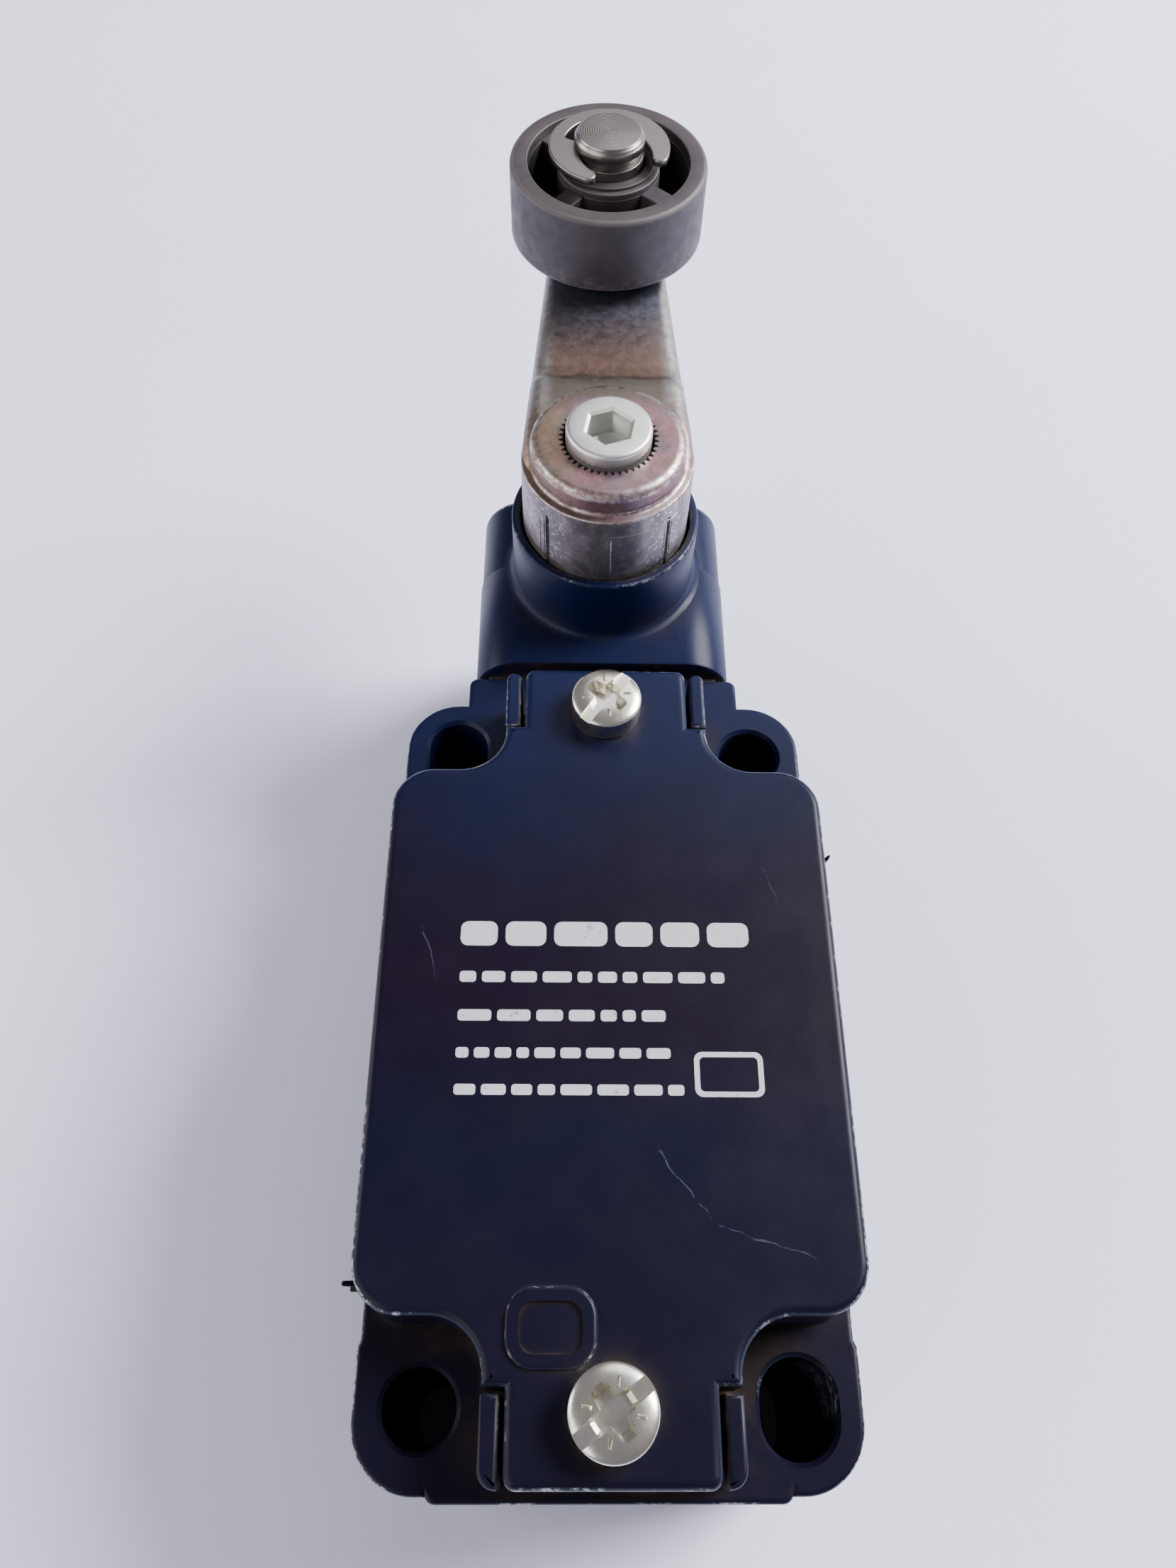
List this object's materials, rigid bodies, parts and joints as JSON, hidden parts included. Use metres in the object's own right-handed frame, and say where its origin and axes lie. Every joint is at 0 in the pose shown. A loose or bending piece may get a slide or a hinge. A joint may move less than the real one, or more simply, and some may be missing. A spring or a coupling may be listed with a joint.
{
  "type": "limit switch",
  "caption": "Metal-bodied limit switch with a screwed cover, a rotary head, and a sprung side lever that carries a free-turning roller.",
  "frame": {"origin": "on the flat mounting back face, at the centre of the four fixing holes", "axes": "+Z out of the cover, +Y from the cable entry towards the lever head and the roller, +X to the right seen from the front"},
  "size_m": [0.0419, 0.1317, 0.0629],
  "materials": {
    "navy_paint": "semi-gloss dark navy powder paint on a zinc or aluminium die casting",
    "black_rubber": "matte black rubber",
    "plated_steel": "zinc-plated steel with a faint yellow tone",
    "bright_steel": "turned or stamped bare steel",
    "zinc_chromate": "zinc die casting with an iridescent yellow-brown chromate",
    "roller_plastic": "matte dark brownish-grey moulded plastic",
    "black_plastic": "matte black moulded plastic",
    "pale_plastic": "satin cream moulded plastic",
    "brass": "stamped brass",
    "bronze": "sintered bronze",
    "spring_steel": "spring steel"
  },
  "bodies": {
    "body": {"housing": "navy_paint", "cover": "navy_paint", "cover_gasket": "black_rubber", "cover_screw_top": "plated_steel", "cover_screw_bottom": "plated_steel", "head_housing": "navy_paint", "head_gasket": "black_rubber", "head_screw_1": "plated_steel", "head_screw_2": "plated_steel", "head_screw_3": "plated_steel", "head_screw_4": "plated_steel", "shaft_bush": "bronze", "shaft_seal": "black_rubber", "head_spring": "spring_steel", "contact_block_base": "black_plastic", "contact_block_lid": "pale_plastic", "contact_block_screw_1": "plated_steel", "contact_block_screw_2": "plated_steel", "fixed_contact_nc_left": "brass", "fixed_contact_nc_right": "brass", "fixed_contact_no_left": "brass", "fixed_contact_no_right": "brass", "terminal_clamp_nc_left": "plated_steel", "terminal_clamp_nc_right": "plated_steel", "terminal_clamp_no_left": "plated_steel", "terminal_clamp_no_right": "plated_steel", "terminal_screw_nc_left": "plated_steel", "terminal_screw_nc_right": "plated_steel", "terminal_screw_no_left": "plated_steel", "terminal_screw_no_right": "plated_steel", "earth_clamp": "plated_steel", "earth_screw": "plated_steel", "return_spring": "spring_steel"},
    "lever_and_shaft": {"lever": "zinc_chromate", "lever_clamp_screw": "plated_steel", "shaft": "bright_steel", "cam": "spring_steel", "shaft_circlip": "spring_steel", "roller_pin": "bright_steel", "roller_clip": "bright_steel"},
    "roller_wheel": {"roller": "roller_plastic"},
    "drive_plunger": {"pressure_plate": "spring_steel", "drive_rod": "bright_steel"},
    "moving_contacts": {"contact_carrier": "pale_plastic", "contact_bridge_nc": "brass", "contact_bridge_no": "brass", "contact_spring_nc": "spring_steel", "contact_spring_no": "spring_steel"}
  },
  "joints": [
    {"name": "lever_turn", "type": "hinge", "parent": "body", "child": "lever_and_shaft", "pos_m": [0, 0.0533, 0.019], "axis": [0, 0, 1], "range_deg": [-75, 75], "stiffness_Nm_per_rad": 0.15},
    {"name": "roller_spin", "type": "hinge", "parent": "lever_and_shaft", "child": "roller_wheel", "pos_m": [0, 0.0848, 0.0557], "axis": [0, 0, 1], "continuous": true},
    {"name": "plunger_push", "type": "slide", "parent": "body", "child": "drive_plunger", "axis": [0, -1, 0], "range_m": [0, 0.0025], "stiffness_N_per_m": 1200, "deforming": ["head_spring"]},
    {"name": "contact_travel", "type": "slide", "parent": "body", "child": "moving_contacts", "axis": [0, -1, 0], "range_m": [0, 0.0025], "stiffness_N_per_m": 300, "deforming": ["return_spring"]}
  ],
  "couplings": [
    {"joint": "contact_travel", "follows": "plunger_push", "ratio": 1}
  ]
}
